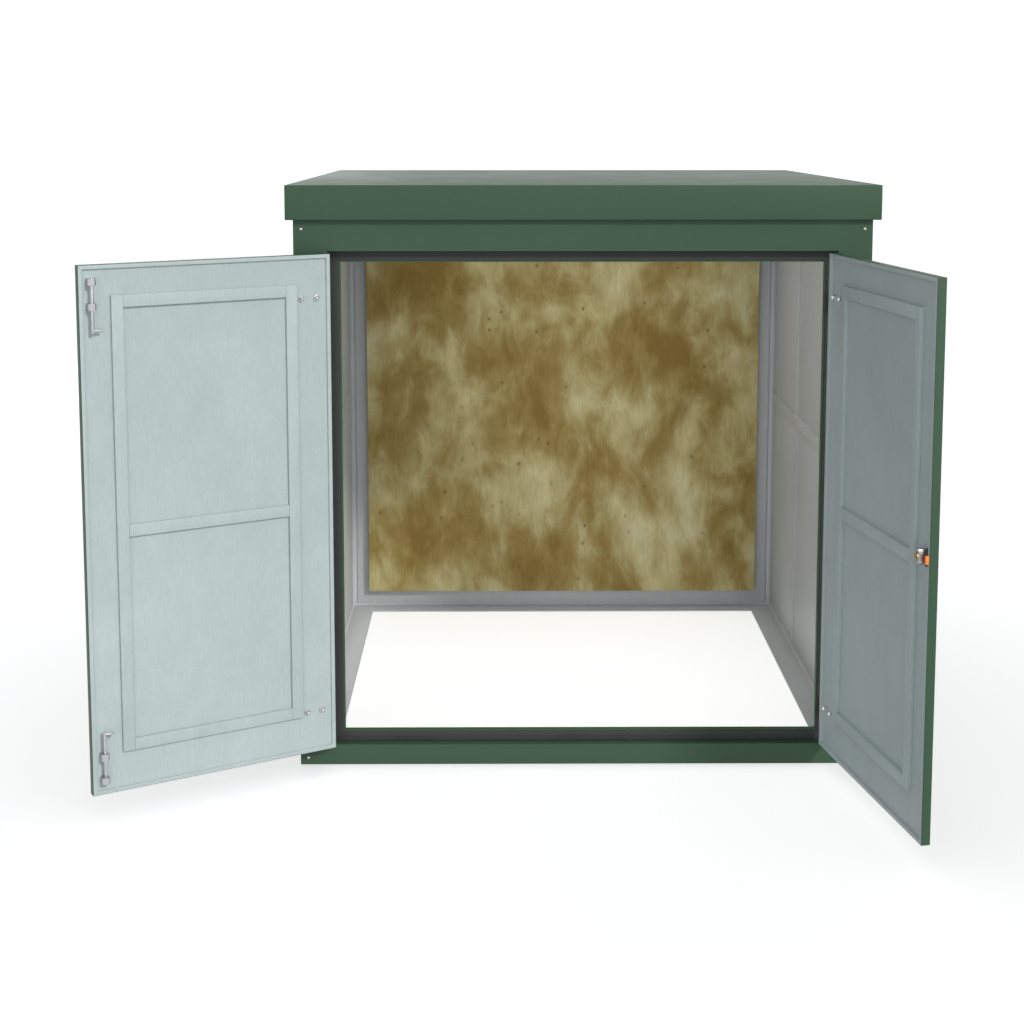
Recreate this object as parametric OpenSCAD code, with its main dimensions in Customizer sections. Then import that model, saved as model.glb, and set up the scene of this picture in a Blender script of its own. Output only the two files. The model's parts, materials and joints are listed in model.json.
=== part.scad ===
// Walk-in fibreglass equipment enclosure with a pair of outward-opening doors.
// X is across the front, Y runs from the front to the back, Z is up.
// The origin is on the ground, at the centre of the walls' footprint.

/* [Body] */
// Width over the outer faces of the walls
body_w = 2000; // [1700:10:2600]
// Depth from the front face to the back face
body_d = 2000; // [1200:10:2600]
// Height of the walls, up to the underside of the roof
wall_h = 2000; // [1960:10:2600]
// Thickness of a wall panel
wall_t = 20; // [12:1:40]

/* [Roof] */
// How far the roof cap stands out beyond the walls
roof_overhang = 25; // [10:1:60]
// How far the fascia hangs down below the wall tops
fascia_drop = 51; // [20:1:90]
// Thickness of the roof panel at the front
roof_front_t = 69; // [50:1:120]
// How much lower the roof is at the back than at the front
roof_fall = 26; // [0:1:40]

/* [Doorway] */
// Width of the doorway between the jambs
opening_w = 1767; // [1300:1:1800]
// Height of the doorway between the sill and the header
opening_h = 1767; // [1200:1:1780]
// Height of the sill above the ground
sill_h = 73.5; // [70:0.5:110]
// Depth of the rebate that the doors close into
rebate_d = 35; // [30:1:60]
// Thickness of the stop behind the rebate
stop_t = 20; // [18:1:40]
// How far the stop stands in from the edge of the doorway
stop_lap = 41; // [36:1:46]
// Width of the rubber seal on the stop
seal_w = 35; // [15:1:36]
// Thickness of the rubber seal
seal_t = 5; // [3:0.5:8]

/* [Doors] */
// Thickness of a door leaf
leaf_t = 30; // [20:1:30]
// Gap between a leaf and the frame around it
door_gap = 5; // [5:0.5:8]
// Gap between the two leaves where they meet
meeting_gap = 6; // [5:0.5:12]
// Angle that the left leaf stands open
left_open = 150; // [20:1:160]
// Angle that the right leaf stands open
right_open = 100.5; // [20:0.5:160]
// Width of the raised rim around a leaf's inner face
rim_w = 14; // [6:1:24]
// Depth of a leaf's inner panel below its rim
panel_recess = 4; // [2:0.5:8]
// Width of a stiffening rail on the inner panel
rail_w = 40; // [20:1:50]
// Height of a stiffening rail above the inner panel
rail_h = 8; // [4:0.5:14]
// Distance from the hinge edge to the stiffening frame
rail_from_hinge = 125; // [122:1:180]
// Distance from the meeting edge to the stiffening frame
rail_from_edge = 105; // [100:1:160]
// Distance from the top of a leaf to the stiffening frame
rail_from_top = 101; // [60:1:160]
// Distance from the bottom of a leaf to the stiffening frame
rail_from_bottom = 134; // [60:1:180]
// Height of the middle rail above the ground
mid_rail_z = 957; // [700:1:1100]

/* [Hinges] */
// Distance from a leaf's end to the middle of its hinge
hinge_inset = 149; // [60:1:250]
// Radius of the hinge knuckles
knuckle_r = 7; // [6:0.5:10]
// Radius of the hinge pins
pin_r = 4; // [3:0.5:5]
// Running clearance around a hinge pin
pin_clear = 0.05; // [0.02:0.01:0.1]
// Height of the whole hinge barrel
barrel_h = 64; // [50:1:100]
// Thickness of the hinge plates
plate_t = 4; // [3:0.5:6]
// Length of the strap on the door, from the edge of the leaf
strap_l = 122; // [118:1:180]
// Height of the strap on the door
strap_h = 40; // [30:1:60]
// Width of the plate on the frame
frame_plate_w = 45; // [30:1:60]
// Distance from the hinge edge to the first strap bolt
first_nut_u = 51; // [50:1:56]
// Distance between the two strap bolts
nut_pitch = 56; // [30:1:56]
// Radius of a domed nut
nut_r = 9.5; // [6:0.5:10]

/* [Shoot bolts] */
// Diameter of a bolt rod
rod_d = 11; // [8:1:14]
// Length of a bolt rod
rod_l = 178; // [178:1:260]
// How far a bolt slides
throw = 58; // [40:1:60]
// Distance from the meeting edge to the rod's axis
rod_from_edge = 39; // [32:1:60]
// Height of the rod's axis above the inner panel
rod_standoff = 20; // [18:1:22]
// Gap between a drawn rod's tip and the stop
rod_tip_gap = 5; // [5:1:10]
// Radial clearance of a rod in its guides
rod_clear = 0.1; // [0.05:0.01:0.3]
// Radial clearance of a thrown rod in the frame
keeper_clear = 2; // [1:0.5:3]

/* [Lock] */
// Height of the lock's axis above the ground
lock_z = 984; // [700:1:1200]
// Distance from the meeting edge to the lock's axis
lock_from_edge = 38; // [34:1:70]
// Height of the oval lock case
lock_case_h = 55; // [45:1:70]
// Width of the oval lock case
lock_case_w = 24; // [20:1:28]
// How far the lock case stands off its plate
lock_case_l = 24; // [10:1:40]

/* [Base and lining] */
// Width of the flange inside the foot of the walls
flange_w = 100; // [40:1:140]
// Thickness of the flange
flange_t = 5; // [3:1:10]
// Width of a joint strip
strip_w = 50; // [20:1:80]
// Thickness of a joint strip
strip_t = 6; // [3:0.5:10]
// Width of the seam between two wall panels
seam_w = 3; // [1:0.5:5]
// Height at which the joint strips start
strip_lift = 30; // [10:1:80]
// Radius of the fillet in the two back corners
fillet_r = 20; // [8:1:30]

/* [Backboard] */
// Width of the plywood backboard
board_w = 1800; // [1200:10:1800]
// Height of the plywood backboard
board_h = 1800; // [1200:10:1800]
// Thickness of the plywood
board_t = 18; // [9:1:25]
// Height of the backboard's lower edge above the ground
board_lift = 83; // [40:1:200]
// Thickness of the battens behind the backboard
batten_t = 25; // [15:1:40]
// Width of a batten
batten_w = 60; // [30:1:100]

/* [Hidden] */

GREEN = [0.27, 0.37, 0.30];
GREY = [0.60, 0.63, 0.63];
PALE_GREY = [0.70, 0.75, 0.74];
BLACK = [0.10, 0.10, 0.10];
PLY = [0.56, 0.47, 0.28];
PINE = [0.70, 0.58, 0.40];
STEEL = [0.62, 0.62, 0.64];
BRASS = [0.55, 0.49, 0.27];
ORANGE = [0.98, 0.50, 0.18];

$fn = 48;
cut = 1;                       // overrun of a cutting solid past the face it cuts

front_y = -body_d / 2;
back_y = body_d / 2;
frame_d = rebate_d + seal_t + stop_t;
frame_back_y = front_y + frame_d;
jamb_w = (body_w - opening_w) / 2;
opening_top = sill_h + opening_h;
stop_y = frame_back_y - stop_t;
stop_low_z = sill_h + stop_lap;
stop_top_z = opening_top - stop_lap;
inner_w = body_w - 2 * wall_t;
inner_back_y = back_y - wall_t;

leaf_w = (opening_w - 2 * door_gap - meeting_gap) / 2;
leaf_h = opening_h - 2 * door_gap;
leaf_z = sill_h + door_gap;
panel_v = leaf_t - panel_recess;      // depth of the inner panel behind the leaf's outer face
knuckle_air = 0.5;                    // how far the knuckles keep off the frame
axis_set = knuckle_r + knuckle_air;   // distance of the hinge axis in front of the frame
hinge_zs = [leaf_z + hinge_inset, leaf_z + leaf_h - hinge_inset];

rod_r = rod_d / 2;
rod_v = panel_v + rod_standoff;
rod_u = leaf_w - rod_from_edge;
keeper_x = -opening_w / 2 + door_gap + rod_u;
keeper_r = rod_r + keeper_clear;
keeper_depth = 5;                     // depth left free past a thrown rod's tip

side_panels = 3;                      // wall panels along a side wall
side_rows = 2;                        // wall panels up a side wall
joint_ys = [for (i = [1 : side_panels - 1]) front_y + i * body_d / side_panels];
joint_z = wall_h / side_rows;

// ---- Places and repeated shapes ----

// Leaf coordinates: X from the hinge edge, Y from the outer face inwards, Z as on the enclosure.
module on_left_leaf() {
    translate([-opening_w / 2, front_y - axis_set, 0])
        rotate([0, 0, -left_open])
            translate([door_gap, axis_set, 0]) children();
}

module on_right_leaf() {
    translate([opening_w / 2, front_y - axis_set, 0])
        rotate([0, 0, right_open]) mirror([1, 0, 0])
            translate([door_gap, axis_set, 0]) children();
}

module mirrored_to_right() {
    mirror([1, 0, 0]) children();
}

// A round bar along Y.
module y_bar(r, l) {
    rotate([-90, 0, 0]) cylinder(r = r, h = l);
}

module screw_head(r, h) {
    translate([0, -h, 0]) y_bar(r, h);
}

// ---- Front frame ----

// The holes that the thrown shoot bolts enter, from the stop into the header and the sill.
module keeper_hole(stop_edge_z, up) {
    hole_l = throw - rod_tip_gap + keeper_depth;
    translate([keeper_x, front_y + rod_v, up ? stop_edge_z - cut : stop_edge_z - hole_l])
        cylinder(r = keeper_r, h = hole_l + cut);
}

module front_header() {
    color(GREEN) difference() {
        translate([-body_w / 2, front_y, opening_top]) cube([body_w, frame_d, wall_h - opening_top]);
        keeper_hole(stop_top_z, true);
    }
}

module left_jamb() {
    color(GREEN) translate([-body_w / 2, front_y, 0]) cube([jamb_w, frame_d, opening_top]);
}

module right_jamb() {
    mirrored_to_right() left_jamb();
}

module front_sill() {
    color(GREEN) difference() {
        translate([-opening_w / 2, front_y, 0]) cube([opening_w, frame_d, sill_h]);
        keeper_hole(stop_low_z, false);
    }
}

// A level strip of a given height and thickness across the doorway.
module cross_strip(z, h, y, t) {
    translate([-opening_w / 2, y, z]) cube([opening_w, t, h]);
}

module stop_head() {
    color(GREEN) difference() {
        cross_strip(stop_top_z, stop_lap, stop_y, stop_t);
        keeper_hole(stop_top_z, true);
    }
}

module stop_sill() {
    color(GREEN) difference() {
        cross_strip(sill_h, stop_lap, stop_y, stop_t);
        keeper_hole(stop_low_z, false);
    }
}

module left_stop() {
    color(GREEN) translate([-opening_w / 2, stop_y, stop_low_z])
        cube([stop_lap, stop_t, stop_top_z - stop_low_z]);
}

module right_stop() {
    mirrored_to_right() left_stop();
}

module head_seal() {
    color(BLACK) difference() {
        cross_strip(opening_top - seal_w, seal_w, stop_y - seal_t, seal_t);
        keeper_hole(stop_top_z, true);
    }
}

module sill_seal() {
    color(BLACK) difference() {
        cross_strip(sill_h, seal_w, stop_y - seal_t, seal_t);
        keeper_hole(stop_low_z, false);
    }
}

module left_seal() {
    color(BLACK) translate([-opening_w / 2, stop_y - seal_t, sill_h + seal_w])
        cube([seal_w, seal_t, opening_h - 2 * seal_w]);
}

module right_seal() {
    mirrored_to_right() left_seal();
}

module frame_screws() {
    screw_in = 28;
    low_z = 25;
    high_z = wall_h - fascia_drop - 32;
    head_r = 5;
    head_h = 3;
    color(STEEL) for (side = [-1, 1], z = [low_z, high_z])
        translate([side * (body_w / 2 - screw_in), front_y, z]) screw_head(head_r, head_h);
}

// ---- Walls, base and roof ----

// One side wall is a grid of panels with seams between them.
module left_wall() {
    edges_y = concat([frame_back_y - seam_w / 2], joint_ys, [inner_back_y + seam_w / 2]);
    edges_z = [-seam_w / 2, joint_z, wall_h + seam_w / 2];
    color(GREEN) for (i = [0 : side_panels - 1], j = [0 : side_rows - 1])
        translate([-body_w / 2, edges_y[i] + seam_w / 2, edges_z[j] + seam_w / 2])
            cube([wall_t, edges_y[i + 1] - edges_y[i] - seam_w, edges_z[j + 1] - edges_z[j] - seam_w]);
}

module right_wall() {
    mirrored_to_right() left_wall();
}

module back_wall() {
    color(GREEN) translate([-body_w / 2, inner_back_y, 0]) cube([body_w, wall_t, wall_h]);
}

module left_wall_strips() {
    strip_end_y = inner_back_y - fillet_r;
    color(GREY) translate([-inner_w / 2, 0, 0]) union() {
        for (y = joint_ys)
            translate([0, y - strip_w / 2, strip_lift]) cube([strip_t, strip_w, wall_h - strip_lift]);
        translate([0, frame_back_y, joint_z - strip_w / 2])
            cube([strip_t, strip_end_y - frame_back_y, strip_w]);
    }
}

module right_wall_strips() {
    mirrored_to_right() left_wall_strips();
}

module back_corner_fillets() {
    color(GREY) for (side = [0, 1]) mirror([side, 0, 0])
        translate([-inner_w / 2, inner_back_y, flange_t]) linear_extrude(wall_h - flange_t) difference() {
            translate([0, -fillet_r]) square(fillet_r);
            translate([fillet_r, -fillet_r]) circle(fillet_r);
        }
}

// An inward flange around the open base, just inside the foot of the walls.
module base_flange() {
    l = inner_back_y - frame_back_y;
    color(GREY) difference() {
        translate([-inner_w / 2, frame_back_y, 0]) cube([inner_w, l, flange_t]);
        translate([-inner_w / 2 + flange_w, frame_back_y + flange_w, -cut])
            cube([inner_w - 2 * flange_w, l - 2 * flange_w, flange_t + 2 * cut]);
    }
}

// The roof is one moulding: a panel that falls to the back, with a fascia around it.
module roof_cap() {
    cap_w = body_w + 2 * roof_overhang;
    low_z = wall_h - fascia_drop;
    cap_front = front_y - roof_overhang;
    cap_back = back_y + roof_overhang;
    side_profile = [
        [cap_front, low_z],
        [cap_back, low_z],
        [cap_back, wall_h + roof_front_t - roof_fall],
        [cap_front, wall_h + roof_front_t]
    ];
    color(GREEN) difference() {
        translate([-cap_w / 2, 0, 0]) rotate([90, 0, 90]) linear_extrude(cap_w) polygon(side_profile);
        translate([-body_w / 2, front_y, low_z - cut]) cube([body_w, body_d, fascia_drop + cut]);
    }
}

// ---- Backboard ----

module backboard() {
    color(PLY) translate([-board_w / 2, inner_back_y - batten_t - board_t, board_lift])
        cube([board_w, board_t, board_h]);
}

module backboard_battens() {
    battens = 4;
    end_gap = 40;
    pitch = (board_w - 2 * end_gap - batten_w) / (battens - 1);
    color(PINE) for (i = [0 : battens - 1])
        translate([-board_w / 2 + end_gap + i * pitch, inner_back_y - batten_t, board_lift + end_gap])
            cube([batten_w, batten_t, board_h - 2 * end_gap]);
}

// ---- Hinges ----

knuckle_gap = 0.5;                    // gap between two knuckles of one barrel
door_knuckle_share = 0.4;             // share of the barrel's height in the door's knuckle
door_knuckle_h = barrel_h * door_knuckle_share;
frame_knuckle_h = (barrel_h - door_knuckle_h) / 2 - knuckle_gap;
plate_air = 2;                        // how far a plate keeps off the other side's knuckles
plate_set = knuckle_r + plate_air;    // distance of a plate from the hinge axis

// Knuckles and pins stand on the hinge axis, at the origin, with the plates behind it.
module knuckle(z, h) {
    difference() {
        union() {
            translate([0, 0, z]) cylinder(r = knuckle_r, h = h);
            translate([-plate_set - cut, axis_set - plate_t, z]) cube([plate_set, plate_t, h]);
        }
        translate([0, 0, z - cut]) cylinder(r = pin_r, h = h + 2 * cut);
    }
}

module frame_hinge_plate() {
    head_r = 6;
    head_h = 4;
    screw_x = -plate_set - 0.6 * frame_plate_w;
    screw_zs = [-0.3, 0.3] * barrel_h;
    union() {
        knuckle(barrel_h / 2 - frame_knuckle_h, frame_knuckle_h);
        knuckle(-barrel_h / 2, frame_knuckle_h);
        translate([-plate_set - frame_plate_w, axis_set - plate_t, -barrel_h / 2])
            cube([frame_plate_w, plate_t, barrel_h]);
        for (z = screw_zs)
            translate([screw_x, axis_set - plate_t, z]) screw_head(head_r, head_h);
    }
}

module hinge_pin() {
    head_r = pin_r + 2;
    head_h = 3;
    union() {
        translate([0, 0, -barrel_h / 2]) cylinder(r = pin_r - pin_clear, h = barrel_h + cut);
        translate([0, 0, barrel_h / 2]) cylinder(r = head_r, h = head_h);
    }
}

module at_left_hinges() {
    for (z = hinge_zs) translate([-opening_w / 2, front_y - axis_set, z]) children();
}

module left_hinge_plates() {
    color(STEEL) at_left_hinges() frame_hinge_plate();
}

module right_hinge_plates() {
    mirrored_to_right() left_hinge_plates();
}

module left_hinge_pins() {
    color(STEEL) at_left_hinges() hinge_pin();
}

module right_hinge_pins() {
    mirrored_to_right() left_hinge_pins();
}

// The strap bolts' heads, outside, and their domed nuts, inside, share one row.
nut_us = [first_nut_u, first_nut_u + nut_pitch];

module hinge_straps() {
    strap_start = plate_set - door_gap;
    head_r = 7;
    head_h = 3;
    color(STEEL) for (z = hinge_zs) translate([-door_gap, -axis_set, z]) union() {
        rotate([0, 0, 180]) mirror([0, 1, 0]) knuckle(-door_knuckle_h / 2, door_knuckle_h);
        translate([plate_set, axis_set - plate_t, -strap_h / 2])
            cube([strap_l - strap_start, plate_t, strap_h]);
        for (u = nut_us)
            translate([door_gap + u, axis_set - plate_t, 0]) screw_head(head_r, head_h);
    }
}

module domed_nut() {
    seat_h = 2;
    seat_rim = 2;
    nut_h = 6;
    dome_r = nut_r - seat_rim;
    rotate([-90, 0, 0]) union() {
        cylinder(r = nut_r, h = seat_h);
        translate([0, 0, seat_h]) cylinder(r = dome_r, h = nut_h);
        translate([0, 0, seat_h + nut_h]) intersection() {
            scale(dome_r) sphere(1);
            cylinder(r = dome_r, h = dome_r);
        }
    }
}

module hinge_nuts() {
    color(STEEL) for (z = hinge_zs, u = nut_us) translate([u, panel_v, z]) domed_nut();
}

// ---- Door leaves ----

module door_leaf() {
    color(PALE_GREY) difference() {
        translate([0, 0, leaf_z]) cube([leaf_w, leaf_t, leaf_h]);
        translate([rim_w, panel_v, leaf_z + rim_w])
            cube([leaf_w - 2 * rim_w, panel_recess + cut, leaf_h - 2 * rim_w]);
    }
}

module door_stiffener() {
    w = leaf_w - rail_from_hinge - rail_from_edge;
    low_z = leaf_z + rail_from_bottom;
    h = leaf_h - rail_from_bottom - rail_from_top;
    color(PALE_GREY) translate([rail_from_hinge, panel_v, 0]) difference() {
        translate([0, 0, low_z]) cube([w, rail_h, h]);
        translate([rail_w, -cut, low_z + rail_w])
            cube([w - 2 * rail_w, rail_h + 2 * cut, mid_rail_z - rail_w / 2 - low_z - rail_w]);
        translate([rail_w, -cut, mid_rail_z + rail_w / 2])
            cube([w - 2 * rail_w, rail_h + 2 * cut, low_z + h - rail_w - mid_rail_z - rail_w / 2]);
    }
}

module left_door_leaf() { on_left_leaf() door_leaf(); }
module right_door_leaf() { on_right_leaf() door_leaf(); }
module left_door_stiffener() { on_left_leaf() door_stiffener(); }
module right_door_stiffener() { on_right_leaf() door_stiffener(); }
module left_hinge_straps() { on_left_leaf() hinge_straps(); }
module right_hinge_straps() { on_right_leaf() hinge_straps(); }
module left_hinge_nuts() { on_left_leaf() hinge_nuts(); }
module right_hinge_nuts() { on_right_leaf() hinge_nuts(); }

// ---- Shoot bolts on the left leaf ----

guide_w = 26;
guide_h = 22;
guide_far = 86;                       // start of the far guide, from the stop
guide_near = rod_tip_gap + 1;         // start of the near guide, from the stop
guide_wall = 4;
handle_r = 4.5;
handle_l = 25;

// The upper bolt hangs down from the stop above it; the lower bolt is its mirror image.
module at_upper_bolt() {
    on_left_leaf() translate([rod_u, rod_v, stop_top_z]) mirror([0, 0, 1]) children();
}

module at_lower_bolt() {
    on_left_leaf() translate([rod_u, rod_v, stop_low_z]) children();
}

module bolt_guides() {
    color(STEEL) for (start = [guide_near, guide_far]) translate([0, 0, start]) difference() {
        translate([-guide_w / 2, -rod_standoff, 0])
            cube([guide_w, rod_standoff + rod_r + guide_wall, guide_h]);
        translate([0, 0, -cut]) cylinder(r = rod_r + rod_clear, h = guide_h + 2 * cut);
    }
}

module bolt_rod() {
    handle_from_end = 9;
    color(STEEL) union() {
        translate([0, 0, rod_tip_gap]) cylinder(r = rod_r, h = rod_l);
        translate([0, 0, rod_tip_gap + rod_l - handle_from_end]) rotate([0, -90, 0])
            cylinder(r = handle_r, h = rod_r + handle_l);
    }
}

module upper_bolt_guides() { at_upper_bolt() bolt_guides(); }
module lower_bolt_guides() { at_lower_bolt() bolt_guides(); }
module upper_bolt_rod() { at_upper_bolt() bolt_rod(); }
module lower_bolt_rod() { at_lower_bolt() bolt_rod(); }

// ---- Lock on the right leaf ----

lock_plate_t = 3;
lock_plate_h = 57;
lock_plate_w = 2 * (lock_from_edge - rim_w);   // from the rim to as far on the other side
lock_end_r = 11;
lock_end_t = 4;
strip_block_w = 7;
strip_block_t = 6;
release_inset = 2;
release_t = 10;
release_h = 26;
release_drop = 6;

module at_lock() {
    on_right_leaf() translate([leaf_w - lock_from_edge, panel_v, lock_z]) children();
}

module oval(w, h) {
    square([w, h - w], center = true);
    for (side = [-1, 1]) translate([0, side * (h - w) / 2]) circle(d = w);
}

module lock_plate() {
    color(PALE_GREY) at_lock() translate([-lock_plate_w / 2, 0, -lock_plate_h / 2])
        cube([lock_plate_w, lock_plate_t, lock_plate_h]);
}

module lock_case() {
    color(STEEL) at_lock() translate([0, lock_plate_t, 0])
        rotate([-90, 0, 0]) linear_extrude(lock_case_l) oval(lock_case_w, lock_case_h);
}

module lock_end() {
    color(BRASS) at_lock() translate([0, lock_plate_t + lock_case_l, 0]) y_bar(lock_end_r, lock_end_t);
}

module lock_strip() {
    color(BLACK) at_lock()
        translate([lock_plate_w / 2 - strip_block_w, lock_plate_t, -lock_plate_h / 2])
            cube([strip_block_w, strip_block_t, lock_plate_h]);
}

module lock_release() {
    color(ORANGE) on_right_leaf()
        translate([leaf_w - rim_w, leaf_t, lock_z - release_drop - release_h / 2])
            cube([rim_w - release_inset, release_t, release_h]);
}

// A low oval plate outside, with the round end of the key cylinder in its middle.
module outside_lock_plate() {
    plate_w = 40;
    plate_h = 120;
    outside_plate_t = 6;
    cylinder_r = 11;
    cylinder_l = 9;
    color(STEEL) on_right_leaf() translate([leaf_w - lock_from_edge, 0, lock_z]) union() {
        rotate([90, 0, 0]) linear_extrude(outside_plate_t) oval(plate_w, plate_h);
        screw_head(cylinder_r, cylinder_l);
    }
}

front_header();
left_jamb();
right_jamb();
front_sill();
stop_head();
left_stop();
right_stop();
stop_sill();
head_seal();
left_seal();
right_seal();
sill_seal();
frame_screws();
left_wall();
right_wall();
back_wall();
left_wall_strips();
right_wall_strips();
back_corner_fillets();
base_flange();
roof_cap();
backboard();
backboard_battens();
left_hinge_plates();
right_hinge_plates();
left_hinge_pins();
right_hinge_pins();
left_door_leaf();
left_door_stiffener();
left_hinge_straps();
left_hinge_nuts();
upper_bolt_guides();
lower_bolt_guides();
upper_bolt_rod();
lower_bolt_rod();
right_door_leaf();
right_door_stiffener();
right_hinge_straps();
right_hinge_nuts();
lock_plate();
lock_case();
lock_end();
lock_strip();
lock_release();
outside_lock_plate();
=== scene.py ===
"""Finish and fine detail of a walk-in fibreglass enclosure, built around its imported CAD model.

Metres throughout. Door pieces are made in leaf coordinates: u runs from the hinge edge to the
meeting edge, v from the outer face inwards, z up.
"""
import json
from math import cos, pi, radians, sin

import bmesh
import bpy
from mathutils import Matrix, Vector


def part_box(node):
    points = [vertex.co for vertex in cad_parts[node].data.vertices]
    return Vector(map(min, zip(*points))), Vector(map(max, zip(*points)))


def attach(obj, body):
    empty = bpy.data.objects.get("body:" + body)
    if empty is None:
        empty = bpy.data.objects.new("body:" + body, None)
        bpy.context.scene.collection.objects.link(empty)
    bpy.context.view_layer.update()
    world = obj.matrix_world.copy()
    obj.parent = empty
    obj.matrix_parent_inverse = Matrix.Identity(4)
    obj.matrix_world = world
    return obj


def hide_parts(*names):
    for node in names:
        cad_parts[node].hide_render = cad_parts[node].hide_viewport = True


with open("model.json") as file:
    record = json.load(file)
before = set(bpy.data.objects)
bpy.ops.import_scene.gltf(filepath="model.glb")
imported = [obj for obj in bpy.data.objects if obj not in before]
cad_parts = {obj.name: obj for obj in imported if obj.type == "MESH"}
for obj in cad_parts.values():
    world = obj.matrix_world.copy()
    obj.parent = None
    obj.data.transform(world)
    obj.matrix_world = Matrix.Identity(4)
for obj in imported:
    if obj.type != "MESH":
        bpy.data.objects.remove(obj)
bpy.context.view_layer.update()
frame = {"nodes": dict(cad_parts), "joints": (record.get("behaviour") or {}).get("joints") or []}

NODES = frame["nodes"]
JOINTS = {joint["name"]: joint for joint in frame["joints"]}
SHARP = radians(30)
MM = 0.001

ENCLOSURE, LEFT, RIGHT = "enclosure", "left_door", "right_door"

# ---- Places taken from the frame ----

front_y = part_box("left_jamb")[0].y
frame_back_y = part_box("left_jamb")[1].y
body_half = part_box("left_jamb")[0].x * -1
opening_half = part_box("front_sill")[1].x
sill_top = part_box("front_sill")[1].z
opening_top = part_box("front_header")[0].z
wall_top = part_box("front_header")[1].z
inner_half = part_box("base_flange")[1].x
inner_back_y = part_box("base_flange")[1].y
flange_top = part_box("base_flange")[1].z
door_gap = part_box("left_door_leaf")[0].z - sill_top


def leaf_place(side):
    """The matrix that puts leaf coordinates where a leaf stands at rest."""
    joint = JOINTS[side + "_door_hinge"]
    axis_x, axis_y = joint["pos_m"][:2]
    turn = radians(joint["range_deg"][0]) * (1 if side == "left" else -1)
    to_axis = Matrix.Translation((door_gap, front_y - axis_y, 0))
    hand = Matrix.Identity(4) if side == "left" else Matrix.Scale(-1, 4, (1, 0, 0))
    return Matrix.Translation((axis_x, axis_y, 0)) @ Matrix.Rotation(turn, 4, "Z") @ hand @ to_axis


LEAF = {side: leaf_place(side) for side in ("left", "right")}


def leaf_points(node, side):
    back = LEAF[side].inverted()
    return [back @ vertex.co for vertex in NODES[node].data.vertices]


def leaf_box(node, side):
    """A node's lowest and highest corners in leaf coordinates."""
    points = leaf_points(node, side)
    low = Vector(min(p[i] for p in points) for i in range(3))
    high = Vector(max(p[i] for p in points) for i in range(3))
    return low, high


def levels(node, side, axis):
    """The separate values that a node's corners take along one leaf axis."""
    return sorted({round(p[axis], 4) for p in leaf_points(node, side)})


leaf_low, leaf_high = leaf_box("left_door_leaf", "left")
panel_v = leaf_box("left_door_stiffener", "left")[0].y

# ---- Mesh helpers ----


def node_mesh(*nodes):
    """The joined meshes of CAD nodes, welded, with coplanar faces merged."""
    bm = bmesh.new()
    for node in nodes:
        bm.from_mesh(NODES[node].data)
    bmesh.ops.remove_doubles(bm, verts=bm.verts, dist=0.01 * MM)
    bmesh.ops.dissolve_limit(bm, angle_limit=radians(1), verts=bm.verts, edges=bm.edges)
    return bm


def box(bm, low, high):
    """Adds a box and returns its vertices."""
    verts = bmesh.ops.create_cube(bm, size=1)["verts"]
    low, high = Vector(low), Vector(high)
    for vert in verts:
        vert.co = Vector((low[i] + (vert.co[i] + 0.5) * (high[i] - low[i]) for i in range(3)))
    return verts


def bevel(bm, edges, width, segments=2):
    bmesh.ops.bevel(bm, geom=list(edges), offset=width, segments=segments, profile=0.5,
                    affect="EDGES", clamp_overlap=True)


def is_sharp(edge):
    return len(edge.link_faces) == 2 and edge.calc_face_angle(0) > SHARP


def round_edges(bm, width, segments=2, test=None, verts=None):
    """Rounds the sharp edges that pass a test, of the whole mesh or of some vertices."""
    pool = bm.edges if verts is None else {e for v in verts for e in v.link_edges}
    bevel(bm, [e for e in pool if is_sharp(e) and (test is None or test(e))], width, segments)


def rounded_box(bm, low, high, width, segments=2):
    round_edges(bm, width, segments, verts=box(bm, low, high))


def along(axis):
    """A test for edges that run along an axis."""
    def test(edge):
        run = (edge.verts[0].co - edge.verts[1].co).normalized()
        return abs(run[axis]) > 0.99
    return test


def at_depth(y):
    """A test for edges that lie at a given Y."""
    return lambda edge: all(abs(v.co.y - y) < 0.1 * MM for v in edge.verts)


def prism(bm, outline, place, length):
    """Adds an outline in its own XY plane, pushed along its Z, and returns its vertices."""
    rings = [[bm.verts.new(place @ Vector((x, y, z))) for x, y in outline] for z in (0, length)]
    count = len(outline)
    bm.faces.new(rings[0])
    bm.faces.new(rings[1])
    for i in range(count):
        j = (i + 1) % count
        bm.faces.new((rings[0][i], rings[0][j], rings[1][j], rings[1][i]))
    return rings[0] + rings[1]


def revolve(bm, profile, place, steps=40, bored=False):
    """Adds a profile of (radius, height) turned about its own Z axis. A bored one is a ring."""
    rings = []
    for r, h in profile:
        if r == 0:
            rings.append([bm.verts.new(place @ Vector((0, 0, h)))])
            continue
        turns = [2 * pi * i / steps for i in range(steps)]
        rings.append([bm.verts.new(place @ Vector((r * cos(a), r * sin(a), h))) for a in turns])
    walls = list(zip(rings, rings[1:])) + ([(rings[-1], rings[0])] if bored else [])
    for low, high in walls:
        for i in range(steps):
            j = (i + 1) % steps
            corners = [low[i % len(low)], low[j % len(low)], high[j % len(high)], high[i % len(high)]]
            bm.faces.new(list(dict.fromkeys(corners)))
    for ring in (rings[0], rings[-1]):
        if len(ring) > 1 and not bored:
            bm.faces.new(ring)


def upright(x, y, z):
    """Stands an outline up at a place: its Y becomes Z, and a prism is pushed along Y."""
    return Matrix(((1, 0, 0, x), (0, 0, 1, y), (0, 1, 0, z), (0, 0, 0, 1)))


def arc(centre, radius, start, end, steps):
    """Points along an arc, with angles in degrees."""
    turns = [radians(start + (end - start) * i / steps) for i in range(steps + 1)]
    return [(centre[0] + radius * cos(a), centre[1] + radius * sin(a)) for a in turns]


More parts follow.
